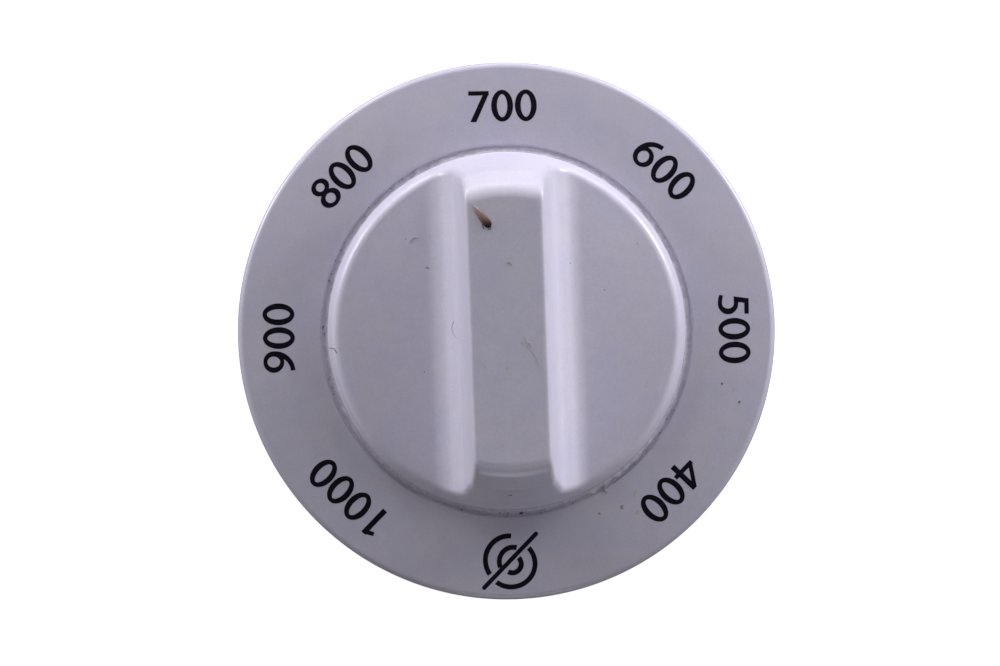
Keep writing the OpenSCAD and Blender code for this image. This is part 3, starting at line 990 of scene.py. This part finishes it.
def make_joint_dust():
    """Dust that fills the corner between the drum and the groove, uneven along its length."""
    obj = revolve("joint_dust", [(DUST_R + r, DUST_Z + z) for r, z in DUST_SECTION], 720)
    inner, foot = DUST_R * MM, DUST_Z * MM
    for v in obj.data.vertices:
        x, y, z = v.co
        radius = math.hypot(x, y)
        full = DUST_FULL + DUST_STRAY * noise.noise(Vector((x, y, 0)) / (DUST_LUMP * MM))
        out = inner + (radius - inner) * full
        v.co = (x / radius * out, y / radius * out, foot + (z - foot) * min(full, 1))
    smooth(obj, 60)
    dress(obj, "soil", soil("joint_soil", (0.48, 0.465, 0.53), (0.6, 0.575, 0.65), 0.4))


# Each speck: its place, length, width and height in millimetres, and its turn in degrees
DARK_SPECKS = (
    (0.9, -20.3, 0.45, 0.3, 0.08, 20), (-0.38, -17.76, 0.42, 0.3, 0.04, 10),
    (7.18, 7.19, 0.14, 0.12, 0.03, 0),
    (23.73, -6.72, 0.26, 0.2, 0.04, 70), (25.57, -8.82, 0.26, 0.22, 0.04, 0),
    (10.87, 4.08, 0.16, 0.12, 0.03, 40), (14.65, 9.11, 0.14, 0.12, 0.03, 0),
    (-9.27, -4.21, 0.17, 0.13, 0.03, 80))
GREY_SPECKS = (
    (12.09, -20.05, 0.55, 0.42, 0.014, 80), (9.57, -20.66, 0.34, 0.28, 0.015, 0),
    (-20.35, 1.13, 0.4, 0.28, 0.06, 60), (-20.2, 0.34, 0.45, 0.22, 0.06, 100),
    (-8.51, 7.2, 0.46, 0.22, 0.03, -22))
FAINT_SPECKS = (
    (-0.3, -4.0, 0.22, 0.18, 0.01, 0), (1.98, -1.85, 0.32, 0.24, 0.012, 60),
    (1.33, -1.45, 0.2, 0.15, 0.01, 20), (-10.82, 10.45, 0.22, 0.18, 0.01, 0))
STAINS = (
    (13.64, -18.6, 0.9, 0.34, 0.012, 78), (13.83, -20.69, 0.62, 0.45, 0.012, 60),
    (24.97, -7.43, 0.38, 0.26, 0.015, 50))
# Each fibre: its radius, and the points that it passes through, in millimetres
DARK_FIBRES = (
    (0.045, ((-2.4, 11.35), (-2.35, 11.05), (-2.25, 10.83))),
    (0.045, ((-1.5, 11.15), (-1.58, 10.8), (-1.85, 10.83))))
GREY_FIBRES = (
    (0.05, ((-19.7, -1.25), (-19.1, -1.3), (-18.8, -1.85))),
    (0.045, ((10.25, -17.2), (10.2, -18.05), (10.6, -18.35))))
FAINT_FIBRES = (
    (0.04, ((1.71, -0.77), (1.81, -1.04), (1.96, -1.42), (2.03, -1.75), (1.95, -2.04))),
    (0.025, ((1.96, -1.42), (2.2, -1.5), (2.26, -1.75))),
    (0.025, ((2.44, -2.38), (2.63, -2.6), (2.87, -3.02), (2.97, -3.4), (3.12, -3.88))),
    (0.03, ((0.0, 7.15), (0.45, 7.2), (0.62, 6.8))),
    (0.03, ((-5.75, 1.3), (-6.05, 0.6), (-5.9, -0.2), (-5.5, -0.7))),
    (0.035, ((-10.39, 10.0), (-10.05, 10.54), (-9.38, 10.52))))
# Radii between which crumbs and lint lie in the joint
JOINT_RADII = (HOLE_R + 0.1, GROOVE_R)
JOINT_CRUMBS = scatter(9, 130, 330, JOINT_RADII, (0.08, 0.2), 3)
JOINT_LINT = scatter(40, 120, 335, JOINT_RADII, (0.1, 0.3), 5)
DARK_SOIL = soil("dark_soil", (0.05, 0.045, 0.055), (0.15, 0.13, 0.14))
GREY_SOIL = soil("grey_soil", (0.24, 0.23, 0.25), (0.36, 0.34, 0.36))
FAINT_SOIL = soil("faint_soil", (0.4, 0.385, 0.4), (0.47, 0.455, 0.47))
PALE_SOIL = soil("pale_soil", (0.46, 0.45, 0.38), (0.56, 0.54, 0.47), 0.3)

make_fleck()
make_joint_dust()
make_dirt("dark_specks", DARK_SOIL, DARK_SPECKS + JOINT_CRUMBS, DARK_FIBRES)
make_dirt("grey_lint", GREY_SOIL, GREY_SPECKS + JOINT_LINT, GREY_FIBRES)
make_dirt("faint_lint", FAINT_SOIL, FAINT_SPECKS, FAINT_FIBRES)
make_dirt("stains", PALE_SOIL, STAINS)


# Camera, floor and light

LENS, SENSOR_W, ROLL = 111.5, 36, 2.0
CAMERA_AT, CAMERA_TARGET = Vector((-0.0041, -0.0006, 0.350)), (0, 0, FACE_Z * MM)
# Shift of the view in pixels of the photo, and the size of a pixel on the dial's face, in metres
VIEW_SHIFT, PIXEL = Vector((-6.7, -2.3, 0)), 0.0001111

FLOOR_HALF, FLOOR_DROP = 1.5, 0.00002

LAMP_TARGET, LAMP_DISTANCE = Vector((0, 0, 0.008)), 0.34
LAMP_COLOUR = (1, 0.985, 1.065)
# Each lamp's name, azimuth and elevation in degrees, power in watts, width and height in metres
LAMPS = (
    ("right", 0, 28, 0.19, 0.17, 0.17),
    ("right_low", 30, 6, 0.82, 0.09, 0.06),
    ("right_back_low", 60, 6, 0.22, 0.09, 0.06),
    ("right_back", 60, 28, 0.2, 0.17, 0.17),
    ("back_low", 90, 6, 0.14, 0.09, 0.06),
    ("left_back_low", 120, 6, 0.35, 0.09, 0.06),
    ("left_back_high", 120, 28, 0.235, 0.17, 0.17),
    ("left_low", 150, 6, 0.58, 0.09, 0.06),
    ("left", 180, 6, 0.04, 0.09, 0.06),
    ("front", 270, 18, 0.19, 0.14, 0.14),
    ("front_high", 270, 58, 0.06, 0.1, 0.1),
    ("high", 90, 65, 0.03, 0.17, 0.17),
)
ROOM_COLOUR, ROOM_LIGHT = (0.96, 0.95, 1.0, 1), 0.01


def aim(obj, at, up):
    """Turns obj so that its -Z looks at a point, with up at the top of its view."""
    z = (obj.location - Vector(at)).normalized()
    x = Vector(up).cross(z).normalized()
    obj.rotation_euler = Matrix((x, z.cross(x), z)).transposed().to_euler()


def make_camera():
    """The camera above the knob, turned a little and moved sideways."""
    data = bpy.data.cameras.new("camera")
    data.sensor_width = SENSOR_W
    data.lens = LENS
    data.clip_start = 0.01
    data.clip_end = 10
    camera = new_object("camera", data)
    roll = math.radians(ROLL)
    camera.location = CAMERA_AT
    aim(camera, CAMERA_TARGET, (math.sin(roll), math.cos(roll), 0))
    camera.location += camera.rotation_euler.to_matrix() @ VIEW_SHIFT * PIXEL
    SCENE.camera = camera


def paper():
    """White paper that glows enough to stay white."""
    material = bpy.data.materials.new("paper")
    material.use_nodes = True
    shader = material.node_tree.nodes["Principled BSDF"]
    shader.inputs["Base Color"].default_value = (0.9, 0.9, 0.9, 1)
    shader.inputs["Roughness"].default_value = 0.9
    shader.inputs["Emission Color"].default_value = (1, 1, 1, 1)
    shader.inputs["Emission Strength"].default_value = 0.85
    return material


def make_floor():
    """A sheet under the knob, which lights nothing and shows in nothing."""
    mesh = bpy.data.meshes.new("floor")
    bm = bmesh.new()
    bmesh.ops.create_grid(bm, x_segments=1, y_segments=1, size=FLOOR_HALF)
    bm.to_mesh(mesh)
    bm.free()
    mesh.materials.append(paper())
    floor = new_object("floor", mesh)
    floor.location.z = -FLOOR_DROP
    floor.visible_diffuse = floor.visible_glossy = False


def make_lamp(name, azimuth, elevation, power, width, height):
    """A soft lamp that faces the middle of the knob from the direction of these angles."""
    data = bpy.data.lights.new(name, "AREA")
    data.shape = "RECTANGLE"
    data.size = width
    data.size_y = height
    data.energy = power
    data.color = LAMP_COLOUR
    lamp = new_object(name, data)
    a, e = math.radians(azimuth), math.radians(elevation)
    toward = Vector((math.cos(a) * math.cos(e), math.sin(a) * math.cos(e), math.sin(e)))
    lamp.location = LAMP_TARGET + toward * LAMP_DISTANCE
    aim(lamp, LAMP_TARGET, (0, 0, 1))


def make_room():
    """The faint even light of the room."""
    world = bpy.data.worlds.new("room")
    world.use_nodes = True
    background = world.node_tree.nodes["Background"]
    background.inputs["Color"].default_value = ROOM_COLOUR
    background.inputs["Strength"].default_value = ROOM_LIGHT
    SCENE.world = world


make_camera()
make_floor()
for lamp in LAMPS:
    make_lamp(*lamp)
make_room()
SCENE.view_settings.view_transform = "Standard"
